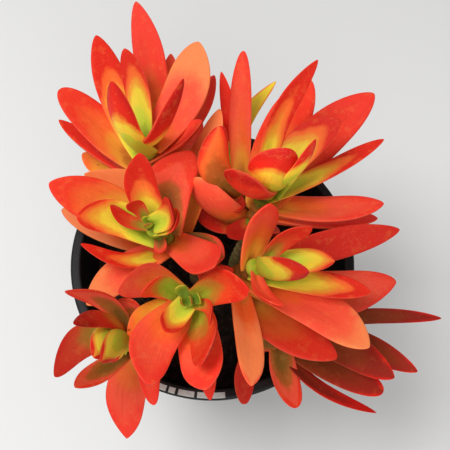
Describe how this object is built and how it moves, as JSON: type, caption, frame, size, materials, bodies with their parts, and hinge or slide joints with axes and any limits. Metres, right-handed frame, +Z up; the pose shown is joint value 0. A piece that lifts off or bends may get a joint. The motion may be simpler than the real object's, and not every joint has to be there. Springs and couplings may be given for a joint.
{
  "type": "potted crassula",
  "caption": "Crassula in a round black plastic nursery pot: leafy stems with paired, fleshy, red-tipped leaves crowd over the rim above dark soil.",
  "frame": {"origin": "centre of the flat underside of the pot", "axes": "+Z up out of the pot, +X to the right and +Y to the back as the plant is shown"},
  "size_m": [0.1394, 0.1538, 0.165],
  "materials": {
    "pot": "satin black, lightly scuffed",
    "soil": "loose, matt and damp",
    "stem": "matt, green-brown skin",
    "leaf": "waxy satin, yellow-green at the base and red at the tip"
  },
  "bodies": {
    "root": {"leaves_back_left_1": "leaf", "leaves_back_left_2": "leaf", "leaves_back_left_3": "leaf", "leaves_back_left_4": "leaf", "leaves_back_left_5": "leaf", "leaves_back_left_6": "leaf", "leaves_back_left_7": "leaf", "leaves_back_right_1": "leaf", "leaves_back_right_2": "leaf", "leaves_back_right_3": "leaf", "leaves_back_right_4": "leaf", "leaves_back_right_5": "leaf", "leaves_back_right_6": "leaf", "leaves_front_1": "leaf", "leaves_front_2": "leaf", "leaves_front_3": "leaf", "leaves_front_4": "leaf", "leaves_front_5": "leaf", "leaves_front_6": "leaf", "leaves_front_7": "leaf", "leaves_front_left_1": "leaf", "leaves_front_left_2": "leaf", "leaves_front_left_3": "leaf", "leaves_front_left_4": "leaf", "leaves_front_left_5": "leaf", "leaves_left_1": "leaf", "leaves_left_2": "leaf", "leaves_left_3": "leaf", "leaves_left_4": "leaf", "leaves_left_5": "leaf", "leaves_left_6": "leaf", "leaves_left_7": "leaf", "leaves_left_8": "leaf", "leaves_low_right_1": "leaf", "leaves_low_right_2": "leaf", "leaves_low_right_3": "leaf", "leaves_low_right_4": "leaf", "leaves_middle_1": "leaf", "leaves_middle_2": "leaf", "leaves_middle_3": "leaf", "leaves_middle_4": "leaf", "leaves_middle_5": "leaf", "leaves_right_1": "leaf", "leaves_right_2": "leaf", "leaves_right_3": "leaf", "leaves_right_4": "leaf", "leaves_right_5": "leaf", "leaves_right_6": "leaf", "pot": "pot", "soil": "soil", "stem_back_left": "stem", "stem_back_right": "stem", "stem_front": "stem", "stem_front_left": "stem", "stem_left": "stem", "stem_low_right": "stem", "stem_middle": "stem", "stem_right": "stem"}
  },
  "joints": []
}
